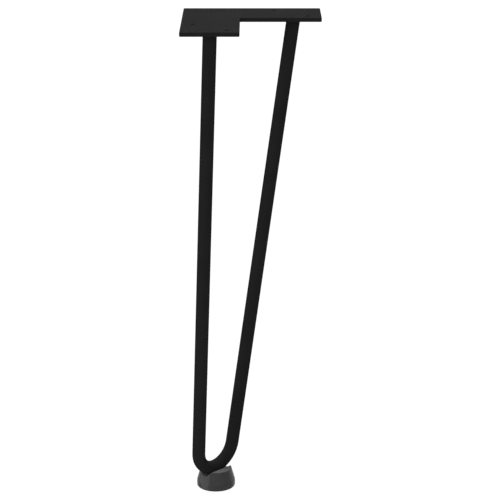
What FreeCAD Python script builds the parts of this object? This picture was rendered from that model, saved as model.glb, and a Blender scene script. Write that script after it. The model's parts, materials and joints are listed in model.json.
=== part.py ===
"""Hairpin table leg: a bent round rod under an L-shaped screw plate, with a rubber foot on its bend.

Frame: the origin lies on the plate's top face, straight above the bend's lowest point, where the centre
lines of the plate's two arms cross. +Z is up, +Y points to the plate's outer corner, and X runs from the
left rod to the right rod. The leg leans outwards: its bend is nearer the outer corner than its rod ends.
"""

import FreeCAD, Part
import math
import os
import Sketcher
from FreeCAD import Placement, Rotation, Vector

# Driving dimensions in millimetres
SIZES = {
    "total_height": 370,
    "plate_arm_length": 100,
    "plate_arm_width": 41.5,
    "plate_thickness": 3,
    "plate_corner_radius": 1,
    "plate_edge_chamfer": 0.3,
    "rod_end_margin": 19.75,
    "screw_hole_diameter": 4.5,
    "screw_hole_spacing": 34,
    "screw_hole_setback": 2,
    "rod_diameter": 10,
    "bend_radius": 18,
    "weld_leg": 3,
    "weld_bulge_height": 0.5,
    "foot_base_diameter": 29.5,
    "foot_top_diameter": 24,
    "foot_height": 14.7,
    "foot_band_height": 4,
    "foot_shoulder_radius": 7,
    "foot_base_rounding": 1.5,
    "foot_rim_chamfer": 0.2,
    "seat_thickness": 11,
    "seat_gap": 0.1,
    "groove_clearance": 0.3,
    "foot_slide": 2.2,
}

# Lengths and angles that follow from them
WORKED_OUT = {
    "arm_inset": "sizes.plate_arm_width / 2",
    "arm_reach": "sizes.plate_arm_length - sizes.plate_arm_width / 2 - sizes.rod_end_margin",
    "rod_offset": "arm_reach / sqrt(2)",
    "hole_reach": "arm_reach - sizes.screw_hole_setback",
    "hole_step": "sizes.screw_hole_spacing / 2 / sqrt(2)",
    "rod_radius": "sizes.rod_diameter / 2",
    "axis_height": "sizes.seat_thickness + sizes.seat_gap + rod_radius",
    "rod_drop": "sizes.total_height - sizes.plate_thickness - axis_height",
    "rod_run": "sqrt(rod_drop ^ 2 + rod_offset ^ 2)",
    "lean": "atan(rod_offset / rod_drop)",
    "groove_radius": "rod_radius + sizes.groove_clearance",
}

# How a sketch numbers its axes and the points of an edge
X_AXIS, Y_AXIS = range(-1, -3, -1)
START, END, CENTRE = range(1, 4)
ORIGIN_POINT = (X_AXIS, START)

doc = FreeCAD.newDocument("hairpin_table_leg")


def fill_sheet(name, cells):
    """Makes a sheet with one aliased value in each row."""
    sheet = doc.addObject("Spreadsheet::Sheet", name)
    for row, (alias, content) in enumerate(cells.items(), start=1):
        sheet.set(f"A{row}", alias.replace("_", " "))
        sheet.set(f"B{row}", content)
        sheet.setAlias(f"B{row}", alias)
    doc.recompute()
    return sheet


sizes = fill_sheet("sizes", {alias: str(value) for alias, value in SIZES.items()})
worked_out = fill_sheet("worked_out", {alias: "=" + formula for alias, formula in WORKED_OUT.items()})


def number(formula):
    """Today's value of a formula that names cells of the sheets."""
    value = worked_out.evalExpression(formula)
    return float(getattr(value, "Value", value))


def new_body(name):
    return doc.addObject("PartDesign::Body", name)


def origin_plane(body, role):
    return next(feature for feature in body.Origin.OriginFeatures if feature.Role == role)


def new_sketch(body, name, role):
    """A sketch on one of the body's own origin planes."""
    sketch = body.newObject("Sketcher::SketchObject", name)
    sketch.AttachmentSupport = [(origin_plane(body, role), "")]
    sketch.MapMode = "FlatFace"
    return sketch


def add_feature(body, kind, name, profile):
    feature = body.newObject("PartDesign::" + kind, name)
    feature.Profile = profile
    return feature


def bind(item, **formulas):
    for name, formula in formulas.items():
        item.setExpression(name, formula)


def constrain(sketch, *parts, formula=None):
    """Adds a constraint, bound to a formula if it has one."""
    if formula is None:
        sketch.addConstraint(Sketcher.Constraint(*parts))
        return
    index = sketch.addConstraint(Sketcher.Constraint(*parts, number(formula)))
    sketch.setExpression(f"Constraints[{index}]", formula)


def pin(sketch, element, point, across, up):
    """Holds a point of the sketch at its two distances from the origin, each a formula of either sign."""
    for kind, axis, formula in (("DistanceX", Y_AXIS, across), ("DistanceY", X_AXIS, up)):
        if formula == "0":
            constrain(sketch, "PointOnObject", element, point, axis)
        elif number(formula) > 0:
            constrain(sketch, kind, *ORIGIN_POINT, element, point, formula=formula)
        else:
            constrain(sketch, kind, element, point, *ORIGIN_POINT, formula=f"-({formula})")


def draw_outline(sketch, corners):
    """A closed outline of straight edges through corners given as pairs of formulas."""
    places = [Vector(number(across), number(up), 0) for across, up in corners]
    edges = [
        sketch.addGeometry(Part.LineSegment(place, following))
        for place, following in zip(places, places[1:] + places[:1])
    ]
    for edge, following in zip(edges, edges[1:] + edges[:1]):
        constrain(sketch, "Coincident", edge, END, following, START)
    for edge, (across, up) in zip(edges, corners):
        pin(sketch, edge, START, across, up)


def draw_circle(sketch, across, up, radius):
    centre = Vector(number(across), number(up), 0)
    circle = sketch.addGeometry(Part.Circle(centre, Vector(0, 0, 1), number(radius)))
    constrain(sketch, "Radius", circle, formula=radius)
    pin(sketch, circle, CENTRE, across, up)


def sketch_arc(sketch, middle, radius, first, last):
    circle = Part.Circle(middle, Vector(0, 0, 1), radius)
    return sketch.addGeometry(Part.ArcOfCircle(circle, first, last))


def touch_angle(middle, radius, outside):
    """The angle on the circle where the line that touches it from the right runs on to a point outside."""
    way = outside - middle
    return math.atan2(way.y, way.x) - math.acos(radius / way.Length)


def on_circle(middle, radius, angle):
    return middle + Vector(math.cos(angle), math.sin(angle), 0) * radius


def edge_names(shape, wanted):
    return [f"Edge{index}" for index, edge in enumerate(shape.Edges, start=1) if wanted(edge)]


def dress(body, kind, name, base, wanted):
    """Adds a fillet or a chamfer along those edges of the base feature that are wanted."""
    doc.recompute()
    feature = body.newObject("PartDesign::" + kind, name)
    feature.Base = (base, edge_names(base.Shape, wanted))
    return feature


def is_upright(edge):
    low, high = edge.BoundBox.ZMin, edge.BoundBox.ZMax
    return high - low > number("sizes.plate_thickness") / 2


def make_mounting_plate():
    """The L-shaped plate. In its own frame the arms run along +X and -Y, turned so that they meet at +Y.
    Each arm has two holes across its rod end, their middle a little nearer to the corner than the rod."""
    body = new_body("mounting_plate")
    body.Placement = Placement(Vector(), Rotation(Vector(0, 0, 1), -45))
    outline = new_sketch(body, "plate_outline", "XY_Plane")
    inset, tip = "worked_out.arm_inset", "(sizes.plate_arm_length - worked_out.arm_inset)"
    draw_outline(outline, [
        (f"-{inset}", inset),
        (f"-{inset}", f"-{tip}"),
        (inset, f"-{tip}"),
        (inset, f"-{inset}"),
        (tip, f"-{inset}"),
        (tip, inset),
    ])
    plate = add_feature(body, "Pad", "plate_blank", outline)
    plate.Reversed = True
    bind(plate, Length="sizes.plate_thickness")
    corners = dress(body, "Fillet", "plate_corners", plate, is_upright)
    bind(corners, Radius="sizes.plate_corner_radius")

    hole_places = new_sketch(body, "screw_hole_places", "XY_Plane")
    reach, step = "worked_out.hole_reach", "worked_out.hole_step"
    for across, up in (
        (f"{reach} - {step}", step),
        (f"{reach} + {step}", f"-{step}"),
        (f"-{step}", f"-({reach} - {step})"),
        (step, f"-({reach} + {step})"),
    ):
        draw_circle(hole_places, across, up, "sizes.screw_hole_diameter / 2")
    doc.recompute()
    holes = add_feature(body, "Hole", "screw_holes", hole_places)
    holes.DepthType = "ThroughAll"
    bind(holes, Diameter="sizes.screw_hole_diameter")
    edges = dress(body, "Chamfer", "plate_edges", holes, lambda edge: not is_upright(edge))
    bind(edges, Size="sizes.plate_edge_chamfer")
    body.Tip = edges
    return body


def make_hairpin_rod():
    """The rod, in the plane that it is bent in, tilted as a whole by the lean. Its lowest axis point is at
    the body's origin. One half is swept and mirrored, and the ends are cut level under the plate."""
    body = new_body("hairpin_rod")
    body.Placement = Placement(Vector(), Rotation(Vector(1, 0, 0), number("worked_out.lean")))
    body.setExpression(".Placement.Base.z", "-(worked_out.rod_drop + sizes.plate_thickness)")
    body.setExpression(".Placement.Rotation.Angle", "worked_out.lean")

    section = new_sketch(body, "rod_section", "YZ_Plane")
    draw_circle(section, "0", "0", "worked_out.rod_radius")
    path = new_sketch(body, "rod_path", "XZ_Plane")
    radius = number("sizes.bend_radius")
    middle = Vector(0, radius, 0)
    top = Vector(number("worked_out.rod_offset"), number("worked_out.rod_run"), 0)
    turn = touch_angle(middle, radius, top)
    tangent = on_circle(middle, radius, turn)
    beyond = top + (top - tangent).normalize() * number("sizes.rod_diameter")
    bend = sketch_arc(path, middle, radius, -math.pi / 2, turn)
    straight = path.addGeometry(Part.LineSegment(tangent, beyond))
    rod_end = path.addGeometry(Part.Point(top), True)
    constrain(path, "Coincident", bend, START, *ORIGIN_POINT)
    constrain(path, "PointOnObject", bend, CENTRE, Y_AXIS)
    constrain(path, "Radius", bend, formula="sizes.bend_radius")
    constrain(path, "Tangent", bend, END, straight, START)
    pin(path, rod_end, START, "worked_out.rod_offset", "worked_out.rod_run")
    constrain(path, "PointOnObject", rod_end, START, straight)
    constrain(path, "Distance", rod_end, START, straight, END, formula="sizes.rod_diameter")
    half = add_feature(body, "AdditivePipe", "half_rod", section)
    half.Spine = (path, [""])
    both = body.newObject("PartDesign::Mirrored", "both_halves")
    both.Originals = [half]
    both.MirrorPlane = (origin_plane(body, "YZ_Plane"), [""])
    body.Tip = both

    level_cut = new_sketch(body, "level_cut", "YZ_Plane")
    half_width, height = "sizes.rod_diameter * 2", "sizes.rod_diameter * 3"
    fall = f"{half_width} * tan(worked_out.lean)"
    draw_outline(level_cut, [
        (f"-({half_width})", f"worked_out.rod_run + {fall}"),
        (half_width, f"worked_out.rod_run - {fall}"),
        (half_width, f"worked_out.rod_run + {height}"),
        (f"-({half_width})", f"worked_out.rod_run + {height}"),
    ])
    ends = add_feature(body, "Pocket", "level_ends", level_cut)
    ends.Type = "ThroughAll"
    ends.Midplane = True
    body.Tip = ends
    return body


def make_weld(name, side, rod):
    """The fillet bead round one rod end: a ring turned about the upright, cut by the rod that it holds."""
    body = new_body(name + "_bead")
    body.setExpression(".Placement.Base.x", f"{side} * worked_out.rod_offset")
    body.setExpression(".Placement.Base.y", "-worked_out.rod_offset")
    body.setExpression(".Placement.Base.z", "-sizes.plate_thickness")
    profile = new_sketch(body, name + "_profile", "XZ_Plane")
    outer, leg = "(worked_out.rod_radius + sizes.weld_leg)", "sizes.weld_leg"
    bulge = f"{leg} / 2 + sizes.weld_bulge_height"
    draw_outline(profile, [
        ("0", "0"),
        (outer, "0"),
        (f"worked_out.rod_radius + {bulge}", f"-({bulge})"),
        ("worked_out.rod_radius", f"-{leg}"),
        ("0", f"-{leg}"),
    ])
    bead = add_feature(body, "Revolution", name + "_ring", profile)
    bead.ReferenceAxis = (profile, ["V_Axis"])
    bead.Angle = 360
    weld = doc.addObject("Part::Cut", name)
    weld.Base = body
    weld.Tool = rod
    return weld


def draw_foot_profile(profile):
    """Half of the foot's outline, in order from the middle of its base, up its flank and back to its axis."""
    base, top, height = "sizes.foot_base_diameter / 2", "sizes.foot_top_diameter / 2", "sizes.foot_height"
    radius = number("sizes.foot_shoulder_radius")
    outer, band = number(base), number("sizes.foot_band_height")
    middle, rim = Vector(outer - radius, band, 0), Vector(number(top), number(height), 0)
    turn = touch_angle(middle, radius, rim)
    floor = profile.addGeometry(Part.LineSegment(Vector(), Vector(outer, 0, 0)))
    wall = profile.addGeometry(Part.LineSegment(Vector(outer, 0, 0), Vector(outer, band, 0)))
    shoulder = sketch_arc(profile, middle, radius, 0, turn)
    flank = profile.addGeometry(Part.LineSegment(on_circle(middle, radius, turn), rim))
    lid = profile.addGeometry(Part.LineSegment(rim, Vector(0, rim.y, 0)))
    axis = profile.addGeometry(Part.LineSegment(Vector(0, rim.y, 0), Vector()))
    constrain(profile, "Coincident", floor, START, *ORIGIN_POINT)
    constrain(profile, "Coincident", floor, END, wall, START)
    constrain(profile, "Tangent", wall, END, shoulder, START)
    constrain(profile, "Tangent", shoulder, END, flank, START)
    constrain(profile, "Coincident", flank, END, lid, START)
    constrain(profile, "Coincident", lid, END, axis, START)
    constrain(profile, "Coincident", axis, END, floor, START)
    constrain(profile, "Vertical", wall)
    constrain(profile, "Radius", shoulder, formula="sizes.foot_shoulder_radius")
    constrain(profile, "DistanceY", wall, START, wall, END, formula="sizes.foot_band_height")
    pin(profile, wall, START, base, "0")
    pin(profile, lid, START, top, height)
    pin(profile, lid, END, "0", height)


def make_foot():
    """The rubber foot: an upright band, a soft shoulder and a cone above it, with a straight
    round-bottomed groove along X, in which the bend rests."""
    body = new_body("foot")
    body.setExpression(".Placement.Base.x", "sizes.foot_slide")
    body.setExpression(".Placement.Base.z", "-sizes.total_height")
    profile = new_sketch(body, "foot_profile", "XZ_Plane")
    draw_foot_profile(profile)
    cone = add_feature(body, "Revolution", "foot_cone", profile)
    cone.ReferenceAxis = (profile, ["V_Axis"])
    cone.Angle = 360
    rounding = number("sizes.foot_base_rounding")
    base_edge = dress(body, "Fillet", "foot_base_edge", cone, lambda edge: edge.BoundBox.ZMax < rounding)
    bind(base_edge, Radius="sizes.foot_base_rounding")

    groove_section = new_sketch(body, "groove_section", "YZ_Plane")
    radius, centre = "worked_out.groove_radius", "(sizes.seat_thickness + worked_out.groove_radius)"
    top = "(sizes.foot_height + sizes.rod_diameter)"
    half_width, middle = number(radius), number(centre)
    floor = sketch_arc(groove_section, Vector(0, middle, 0), half_width, math.pi, 2 * math.pi)
    corners = [
        Vector(half_width, middle, 0),
        Vector(half_width, number(top), 0),
        Vector(-half_width, number(top), 0),
        Vector(-half_width, middle, 0),
    ]
    walls = [
        groove_section.addGeometry(Part.LineSegment(low, high))
        for low, high in zip(corners, corners[1:])
    ]
    pin(groove_section, floor, CENTRE, "0", centre)
    constrain(groove_section, "Radius", floor, formula=radius)
    constrain(groove_section, "Tangent", floor, END, walls[0], START)
    constrain(groove_section, "Coincident", walls[0], END, walls[1], START)
    constrain(groove_section, "Coincident", walls[1], END, walls[2], START)
    constrain(groove_section, "Tangent", walls[2], END, floor, START)
    constrain(groove_section, "Vertical", walls[0])
    constrain(groove_section, "Horizontal", walls[1])
    constrain(groove_section, "Vertical", walls[2])
    constrain(groove_section, "DistanceY", *ORIGIN_POINT, walls[1], START, formula=top)
    groove = add_feature(body, "Pocket", "rod_groove", groove_section)
    groove.Type = "ThroughAll"
    groove.Midplane = True
    below_top = number("sizes.foot_height - sizes.foot_rim_chamfer")
    rim = dress(body, "Chamfer", "foot_rim", groove, lambda edge: edge.BoundBox.ZMin > below_top)
    bind(rim, Size="sizes.foot_rim_chamfer")
    body.Tip = rim
    return body


def check_document():
    """Stops if any object of the document failed to build."""
    doc.recompute()
    for item in doc.Objects:
        if "Invalid" in item.State or "Error" in item.State:
            raise RuntimeError(f"{item.Name} did not build: {item.State}")


plate = make_mounting_plate()
rod = make_hairpin_rod()
pieces = [plate, rod, make_foot(), make_weld("weld_left", -1, rod), make_weld("weld_right", 1, rod)]
check_document()
os.makedirs("parts", exist_ok=True)
for piece in pieces:
    if piece.Shape.isNull() or not piece.Shape.isValid():
        raise RuntimeError(f"{piece.Label} has no valid shape")
for piece in pieces:
    piece.Shape.exportStep(f"parts/{piece.Label}.step")
    box = piece.Shape.BoundBox
    print(piece.Label, len(piece.Shape.Solids), round(piece.Shape.Volume, 1), box)
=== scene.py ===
import json
import math

import bmesh
import bpy
from mathutils import Matrix, Vector


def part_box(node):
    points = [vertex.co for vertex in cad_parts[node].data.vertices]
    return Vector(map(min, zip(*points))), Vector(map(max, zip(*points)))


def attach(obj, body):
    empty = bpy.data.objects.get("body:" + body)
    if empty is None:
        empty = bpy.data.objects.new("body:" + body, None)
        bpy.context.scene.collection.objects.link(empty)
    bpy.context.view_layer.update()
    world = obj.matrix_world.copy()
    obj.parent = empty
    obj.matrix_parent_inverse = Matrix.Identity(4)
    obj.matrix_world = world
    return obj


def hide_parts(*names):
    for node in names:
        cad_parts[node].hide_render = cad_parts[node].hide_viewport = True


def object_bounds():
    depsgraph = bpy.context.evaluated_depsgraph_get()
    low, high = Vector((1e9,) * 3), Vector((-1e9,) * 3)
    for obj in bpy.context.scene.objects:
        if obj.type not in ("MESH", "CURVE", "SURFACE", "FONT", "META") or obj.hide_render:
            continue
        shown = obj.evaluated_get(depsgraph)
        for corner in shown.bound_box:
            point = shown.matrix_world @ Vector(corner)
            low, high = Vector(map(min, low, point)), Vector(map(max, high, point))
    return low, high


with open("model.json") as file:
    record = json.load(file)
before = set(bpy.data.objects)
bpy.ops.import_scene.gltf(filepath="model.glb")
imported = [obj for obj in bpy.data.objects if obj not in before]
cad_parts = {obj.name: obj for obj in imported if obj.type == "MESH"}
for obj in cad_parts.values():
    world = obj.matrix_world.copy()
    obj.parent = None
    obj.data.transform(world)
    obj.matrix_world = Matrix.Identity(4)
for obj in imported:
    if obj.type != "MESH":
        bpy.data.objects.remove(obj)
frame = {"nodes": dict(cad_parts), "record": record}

CAD_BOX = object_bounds()
NODES = frame["nodes"]
BODY = "root"
MILLIMETRE = 0.001
WHITE = (1.0, 1.0, 1.0, 1.0)

# Camera, measured from the photograph's outline: metres, degrees, pixels, and the sensor in millimetres
FOCAL_PIXELS = 1959.07
IMAGE_PIXELS = 500.0
SENSOR_WIDTH = 36.0
CAMERA_PLACE = (-0.97526, -1.01476, 0.24130)
CAMERA_PITCH = 16.630
CAMERA_HEADING = -45.0

# Rod and weld beads, in metres. Swells are counted round the rod, and shares are of the bead's width
BEND_RADIUS = 0.018
BEAD_FILL = 0.96
BEAD_STEPS = 10
BROAD_SWELLS = 3.0
BROAD_SWELL_SHARE = 0.03
SMALL_SWELLS = 7.0
SMALL_SWELL_SHARE = 0.02
WELD_BULGE = 0.00065
WELD_SINK = 0.0003
RIPPLES = 24
RIPPLE_BOW = 0.4
RIPPLE_DEPTH = 0.00022
RIPPLE_ROUNDNESS = 0.6
RIPPLE_STEPS = 10

# Powder coat: sizes and depths in metres, colours from its darkest to its lightest clouds
COAT_DARK = (0.0083, 0.0083, 0.0084)
COAT_LIGHT = (0.0105, 0.0105, 0.0106)
# Paler coat in the screw holes: painted light that lifts the shade inside them
COAT_PAINTED_LIGHT_IN_HOLES = (0.0160, 0.0160, 0.0160)
COAT_CLOUD_SIZE = 0.03
COAT_GRAIN_SIZE = 0.00045
COAT_GRAIN_DEPTH = 0.00006
COAT_GRAIN_STRENGTH = 0.6
COAT_PEEL_SIZE = 0.0022
COAT_PEEL_DEPTH = 0.00012
COAT_PEEL_STRENGTH = 0.35
WELD_PEEL_DEPTH = 0.00018
COAT_ROUGHNESS = (0.50, 0.64)
COAT_SHINE = 0.006
COAT_EDGE_RADIUS = 0.0005
HOLE_CHAMFER = 0.0003

# Rubber. The painted top light, a paler colour for light from above, starts where the surface's normal rises
# by the first share, and is full at the second
RUBBER_DARK = (0.025, 0.025, 0.025)
RUBBER_LIGHT = (0.030, 0.030, 0.030)
# Painted top light: the paler colour of the upward faces, as if lit from above
RUBBER_PAINTED_TOP_LIGHT = (0.080, 0.080, 0.080)
RUBBER_PAINTED_LIGHT_RISE = (0.80, 0.98)
RUBBER_CLOUD_SIZE = 0.008
RUBBER_GRAIN_SIZE = 0.0004
RUBBER_GRAIN_DEPTH = 0.00002
RUBBER_GRAIN_STRENGTH = 0.25
RUBBER_ROUGHNESS = (0.17, 0.22)
RUBBER_SHINE = 0.45
RUBBER_EDGE_RADIUS = 0.0004

# Shading: the range that most of a noise lies in, and the samples that look for an edge
NOISE_RANGE = (0.3, 0.7)
EDGE_SAMPLES = 6

# Floor and backdrop. Directions are given as (right, away from the camera, up)
FLOOR_HALF_SIDE = 12.0
FLOOR_COLOUR = (0.04, 0.04, 0.04, 1.0)
FLOOR_GLOW = 0.96
FRONT_FILL = 0.15
BACKDROP_GLOW = 0.5
BACKDROP_MIDDLE = (0.1, 0.96, 0.28)
BACKDROP_EDGE = 0.35
BACKDROP_BLUR = 0.2

# Soft lights: direction, spread in degrees, strength, and whether glossy surfaces mirror them
LIGHTS = {
    "top_light": ((0.0, 0.25, 1.0), 36.0, 5.0, False),
    "left_light": ((-0.97, -0.22, 0.05), 70.0, 0.72, True),
    "side_light": ((-1.0, -0.3, 0.1), 40.0, 2.2, False),
    "front_light": ((0.2, -1.0, 0.1), 60.0, 3.4, False),
    "back_light": ((0.5, 1.0, 0.12), 60.0, 3.0, False),
}


def add_object(name, data):
    obj = bpy.data.objects.new(name, data)
    bpy.context.scene.collection.objects.link(obj)
    return obj


def dress(obj, material):
    obj.data.materials.clear()
    obj.data.materials.append(material)


# Shader nodes


def new_material(name):
    material = bpy.data.materials.new(name)
    material.use_nodes = True
    tree = material.node_tree
    tree.nodes.clear()
    output = tree.nodes.new("ShaderNodeOutputMaterial")
    shader = tree.nodes.new("ShaderNodeBsdfPrincipled")
    tree.links.new(shader.outputs["BSDF"], output.inputs["Surface"])
    return material, tree, shader


def object_coordinates(tree):
    return tree.nodes.new("ShaderNodeTexCoord").outputs["Object"]


def noise(tree, coordinates, size, detail, roughness=0.5):
    """A noise whose grains are about that size, in metres."""
    node = tree.nodes.new("ShaderNodeTexNoise")
    node.inputs["Scale"].default_value = 1.0 / size
    node.inputs["Detail"].default_value = detail
    node.inputs["Roughness"].default_value = roughness
    tree.links.new(coordinates, node.inputs["Vector"])
    return node.outputs["Fac"]


def map_range(tree, value, old, new=(0.0, 1.0), smooth=False):
    """Maps a value from its old range to a new one, and holds it at the ends."""
    node = tree.nodes.new("ShaderNodeMapRange")
    if smooth:
        node.interpolation_type = "SMOOTHSTEP"
    for name, number in zip(("From Min", "From Max", "To Min", "To Max"), (*old, *new)):
        node.inputs[name].default_value = number
    tree.links.new(value, node.inputs["Value"])
    return node.outputs["Result"]


def mixed(tree, factor, first, second):
    """A mix of two colours, each given as numbers or as a socket."""
    node = tree.nodes.new("ShaderNodeMix")
    node.data_type = "RGBA"
    colours = [socket for socket in node.inputs if socket.type == "RGBA"]
    for socket, colour in zip(colours, (first, second)):
        if isinstance(colour, bpy.types.NodeSocket):
            tree.links.new(colour, socket)
        else:
            socket.default_value = (*colour, 1.0)
    tree.links.new(factor, node.inputs["Factor"])
    return next(socket for socket in node.outputs if socket.type == "RGBA")


def vector_math(tree, operation, first, second=None):
    """The node that works on a socket and, where the operation takes two, on a vector given as numbers."""
    node = tree.nodes.new("ShaderNodeVectorMath")
    node.operation = operation
    tree.links.new(first, node.inputs[0])
    if second is not None:
        node.inputs[1].default_value = second
    return node


def rounded_edges(tree, radius):
    """The surface's normal, turned near edges as if they were rounded to that radius, in metres."""
    node = tree.nodes.new("ShaderNodeBevel")
    node.samples = EDGE_SAMPLES
    node.inputs["Radius"].default_value = radius
    return node.outputs["Normal"]


def bump(tree, height, depth, strength, normal):
    """A bump whose full height is depth, in metres."""
    node = tree.nodes.new("ShaderNodeBump")
    node.inputs["Strength"].default_value = strength
    node.inputs["Distance"].default_value = depth
    tree.links.new(height, node.inputs["Height"])
    tree.links.new(normal, node.inputs["Normal"])
    return node.outputs["Normal"]


def facing_up(tree, rise):
    """0 where the surface's normal rises less than the first share, and 1 where it rises past the second."""
    parts = tree.nodes.new("ShaderNodeSeparateXYZ")
    tree.links.new(tree.nodes.new("ShaderNodeNewGeometry").outputs["Normal"], parts.inputs["Vector"])
    return map_range(tree, parts.outputs["Z"], rise)


def in_screw_holes(tree, coordinates):
    """1 in the plate's screw holes and on their edges, 0 elsewhere. The mount in the record places them."""
    holes = next(mount for mount in frame["record"]["mounts"] if mount["name"] == "screw_holes")
    sizes = holes["dims"]
    first_hole = Vector((sizes["spacing_x_mm"], sizes["spacing_y_mm"], 0.0)) * MILLIMETRE / 2.0
    shifted = vector_math(tree, "SUBTRACT", coordinates, holes["pos_m"]).outputs["Vector"]
    folded = vector_math(tree, "ABSOLUTE", shifted).outputs["Vector"]
    level = vector_math(tree, "MULTIPLY", folded, (1.0, 1.0, 0.0)).outputs["Vector"]
    distance = vector_math(tree, "DISTANCE", level, first_hole).outputs["Value"]
    inside = tree.nodes.new("ShaderNodeMath")
    inside.operation = "LESS_THAN"
    inside.inputs[1].default_value = sizes["hole_r_mm"] * MILLIMETRE + HOLE_CHAMFER
    tree.links.new(distance, inside.inputs[0])
    return inside.outputs["Value"]


# Materials


def powder_coat(name, peel_depth, has_holes=False):
    """Black matt powder coat: a fine sandy grain over a shallow orange peel. If the piece has screw holes,
    the coat in them is painted paler: painted light that lifts the shade in the holes."""
    material, tree, shader = new_material(name)
    where = object_coordinates(tree)
    peel = noise(tree, where, COAT_PEEL_SIZE, detail=1.0)
    grain = noise(tree, where, COAT_GRAIN_SIZE, detail=3.0, roughness=0.6)
    cloud = noise(tree, where, COAT_CLOUD_SIZE, detail=3.0)
    colour = mixed(tree, map_range(tree, cloud, NOISE_RANGE), COAT_DARK, COAT_LIGHT)
    if has_holes:
        # Painted light: the screw holes' walls are paler, to lift the shade in them
        colour = mixed(tree, in_screw_holes(tree, where), colour, COAT_PAINTED_LIGHT_IN_HOLES)
    roughness = map_range(tree, grain, NOISE_RANGE, COAT_ROUGHNESS)
    normal = rounded_edges(tree, COAT_EDGE_RADIUS)
    normal = bump(tree, grain, COAT_GRAIN_DEPTH, COAT_GRAIN_STRENGTH, normal)
    normal = bump(tree, peel, peel_depth, COAT_PEEL_STRENGTH, normal)
    tree.links.new(colour, shader.inputs["Base Color"])
    tree.links.new(roughness, shader.inputs["Roughness"])
    tree.links.new(normal, shader.inputs["Normal"])
    shader.inputs["Specular IOR Level"].default_value = COAT_SHINE
    return material


def foot_rubber(name):
    """Charcoal moulded rubber with a soft shine, a fine grain and painted light: a paler colour on its upward
    faces, as if lit from above.
    """
    material, tree, shader = new_material(name)
    where = object_coordinates(tree)
    grain = noise(tree, where, RUBBER_GRAIN_SIZE, detail=2.0)
    cloud = noise(tree, where, RUBBER_CLOUD_SIZE, detail=4.0)
    moulded = mixed(tree, map_range(tree, cloud, NOISE_RANGE), RUBBER_DARK, RUBBER_LIGHT)
    # Painted light: upward faces are paler, as if lit from above
    colour = mixed(tree, facing_up(tree, RUBBER_PAINTED_LIGHT_RISE), moulded, RUBBER_PAINTED_TOP_LIGHT)
    roughness = map_range(tree, cloud, NOISE_RANGE, RUBBER_ROUGHNESS)
    normal = rounded_edges(tree, RUBBER_EDGE_RADIUS)
    normal = bump(tree, grain, RUBBER_GRAIN_DEPTH, RUBBER_GRAIN_STRENGTH, normal)
    tree.links.new(colour, shader.inputs["Base Color"])
    tree.links.new(roughness, shader.inputs["Roughness"])
    tree.links.new(normal, shader.inputs["Normal"])
    shader.inputs["Specular IOR Level"].default_value = RUBBER_SHINE
    return material


# Weld beads


def weld_place(name):
    """Where the rod's axis meets the plate, the weld's leg and the rod's radius, from the weld's box."""
    low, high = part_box(name)
    end = Vector(((low.x + high.x) / 2.0, (low.y + high.y) / 2.0, high.z))
    leg = high.z - low.z
    return end, leg, (high.x - low.x) / 2.0 - leg


def rod_fall(end, radius):
    """How far the rod's axis moves for each metre that it falls from that end towards the bend."""
    rise = end.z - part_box("hairpin_rod")[0].z - radius
    lean = math.atan2(-end.y, rise)
    way = Vector((abs(end.x), rise / math.cos(lean) - BEND_RADIUS))
    turn = math.atan2(way.y, way.x) - math.acos(BEND_RADIUS / way.length)
    inward = math.copysign(math.tan(turn) / math.cos(lean), -end.x)
    return Vector((inward, -end.y / rise, -1.0))


def swell(angle, phase):
    """By what share the bead is wider at that angle, as a bead laid by hand is never even."""
    broad = BROAD_SWELL_SHARE * math.sin(BROAD_SWELLS * angle + phase)
    small = SMALL_SWELL_SHARE * math.sin(SMALL_SWELLS * angle)
    return broad + small


def ripple(turn, across):
    """How full the bead is at a share of its way round and across: 1 on a ripple's crest, 0 between two."""
    bow = RIPPLE_BOW * (1.0 - (2.0 * across - 1.0) ** 2)
    return abs(math.sin(math.pi * (turn * RIPPLES + bow))) ** RIPPLE_ROUNDNESS


def bead_section(turn, end, leg, radius, fall):
    """One section of the bead: across its face from the plate to the rod, and back by a hidden corner."""
    angle = 2.0 * math.pi * turn
    up = Vector((0.0, 0.0, 1.0))
    out = Vector((math.cos(angle), math.sin(angle), 0.0))
    reach = BEAD_FILL * leg * (1.0 + swell(angle, math.copysign(1.0, end.x)))
    on_plate = end + out * (radius + reach)
    on_rod = end + fall * reach + out * (radius - WELD_SINK)
    face = (out - up).normalized()
    points = [on_plate + up * WELD_SINK]
    for step in range(BEAD_STEPS + 1):
        across = step / BEAD_STEPS
        arch = 4.0 * across * (1.0 - across)
        height = arch * (WELD_BULGE - RIPPLE_DEPTH * (1.0 - ripple(turn, across)))
        points.append(on_plate.lerp(on_rod, across) + face * height)
    points.append(end + out * (radius - WELD_SINK) + up * WELD_SINK)
    return points


def make_weld_bead(name, material):
    """A fillet bead round one rod end, with the overlapping ripples that the arc leaves."""
    end, leg, radius = weld_place(name)
    fall = rod_fall(end, radius)
    shape = bmesh.new()
    count = RIPPLES * RIPPLE_STEPS
    sections = [bead_section(index / count, end, leg, radius, fall) for index in range(count)]
    rings = [[shape.verts.new(point) for point in section] for section in sections]
    for ring, following in zip(rings, rings[1:] + rings[:1]):
        for index, corner in enumerate(ring):
            previous = index - 1
            shape.faces.new((ring[previous], corner, following[index], following[previous]))
    bmesh.ops.recalc_face_normals(shape, faces=shape.faces)
    mesh = bpy.data.meshes.new(name + "_bead")
    shape.to_mesh(mesh)
    shape.free()
    mesh.shade_smooth()
    bead = add_object(name + "_bead", mesh)
    dress(bead, material)
    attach(bead, BODY)
    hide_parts(name)


# Stage


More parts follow.
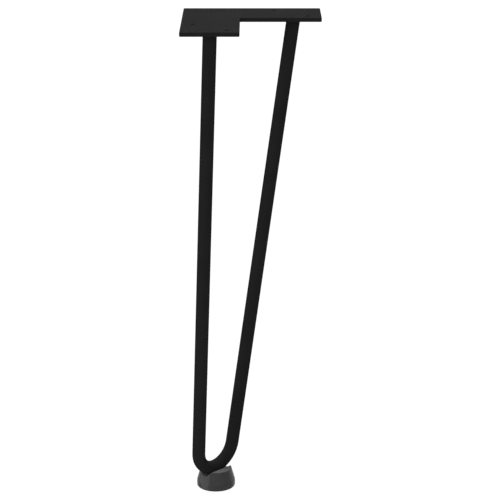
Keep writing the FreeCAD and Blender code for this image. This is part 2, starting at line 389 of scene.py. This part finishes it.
def make_floor():
    """A white floor with hardly a shadow, as in the photograph, that the object doesn't mirror."""
    mesh = bpy.data.meshes.new("floor")
    signs = [(-1, -1), (1, -1), (1, 1), (-1, 1)]
    corners = [(x * FLOOR_HALF_SIDE, y * FLOOR_HALF_SIDE, CAD_BOX[0].z) for x, y in signs]
    mesh.from_pydata(corners, [], [(0, 1, 2, 3)])
    floor = add_object("floor", mesh)
    floor.visible_glossy = False
    material, _, shader = new_material("pale_floor")
    shader.inputs["Base Color"].default_value = FLOOR_COLOUR
    shader.inputs["Emission Color"].default_value = WHITE
    shader.inputs["Emission Strength"].default_value = FLOOR_GLOW
    shader.inputs["Roughness"].default_value = 1.0
    shader.inputs["Specular IOR Level"].default_value = 0.0
    dress(floor, material)


def seen_from_camera(right, away, up):
    """Turns a direction given by the photographer's right and away from the camera into the scene's frame."""
    return Matrix.Rotation(math.radians(CAMERA_HEADING), 3, "Z") @ Vector((right, away, up))


def make_soft_light(name, direction, spread, strength, mirrored):
    """A broad light from that direction, which glossy surfaces mirror or not."""
    lamp = bpy.data.lights.new(name, "SUN")
    lamp.energy = strength
    lamp.angle = math.radians(spread)
    light = add_object(name, lamp)
    light.rotation_mode = "QUATERNION"
    light.rotation_quaternion = seen_from_camera(*direction).to_track_quat("Z", "Y")
    light.visible_glossy = mirrored


def make_world():
    """A pale backdrop behind the object and a dim room in front. The camera sees it all as white, like
    the floor."""
    world = bpy.data.worlds.new("studio")
    bpy.context.scene.world = world
    world.use_nodes = True
    tree = world.node_tree
    direction = tree.nodes.new("ShaderNodeTexCoord").outputs["Generated"]
    nearness = vector_math(tree, "DOT_PRODUCT", direction, seen_from_camera(*BACKDROP_MIDDLE))
    edge = (BACKDROP_EDGE - BACKDROP_BLUR, BACKDROP_EDGE + BACKDROP_BLUR)
    glow = map_range(tree, nearness.outputs["Value"], edge, (FRONT_FILL, BACKDROP_GLOW), smooth=True)
    room = tree.nodes["Background"]
    room.inputs["Color"].default_value = WHITE
    tree.links.new(glow, room.inputs["Strength"])
    seen = tree.nodes.new("ShaderNodeBackground")
    seen.inputs["Color"].default_value = WHITE
    mix = tree.nodes.new("ShaderNodeMixShader")
    tree.links.new(tree.nodes.new("ShaderNodeLightPath").outputs["Is Camera Ray"], mix.inputs["Fac"])
    tree.links.new(room.outputs["Background"], mix.inputs[1])
    tree.links.new(seen.outputs["Background"], mix.inputs[2])
    tree.links.new(mix.outputs["Shader"], tree.nodes["World Output"].inputs["Surface"])


def make_camera():
    camera = add_object("camera", bpy.data.cameras.new("camera"))
    camera.data.sensor_width = SENSOR_WIDTH
    camera.data.lens = SENSOR_WIDTH * FOCAL_PIXELS / IMAGE_PIXELS
    camera.location = CAMERA_PLACE
    camera.rotation_euler = (math.radians(90.0 - CAMERA_PITCH), 0.0, math.radians(CAMERA_HEADING))
    bpy.context.scene.camera = camera


dress(NODES["mounting_plate"], powder_coat("plate_coat", COAT_PEEL_DEPTH, has_holes=True))
dress(NODES["hairpin_rod"], powder_coat("rod_coat", COAT_PEEL_DEPTH))
dress(NODES["foot"], foot_rubber("foot_rubber"))
weld_coat = powder_coat("weld_coat", WELD_PEEL_DEPTH)
for weld in ("weld_left", "weld_right"):
    make_weld_bead(weld, weld_coat)

make_floor()
make_world()
for light_name, light_values in LIGHTS.items():
    make_soft_light(light_name, *light_values)
make_camera()
bpy.context.scene.view_settings.view_transform = "Standard"
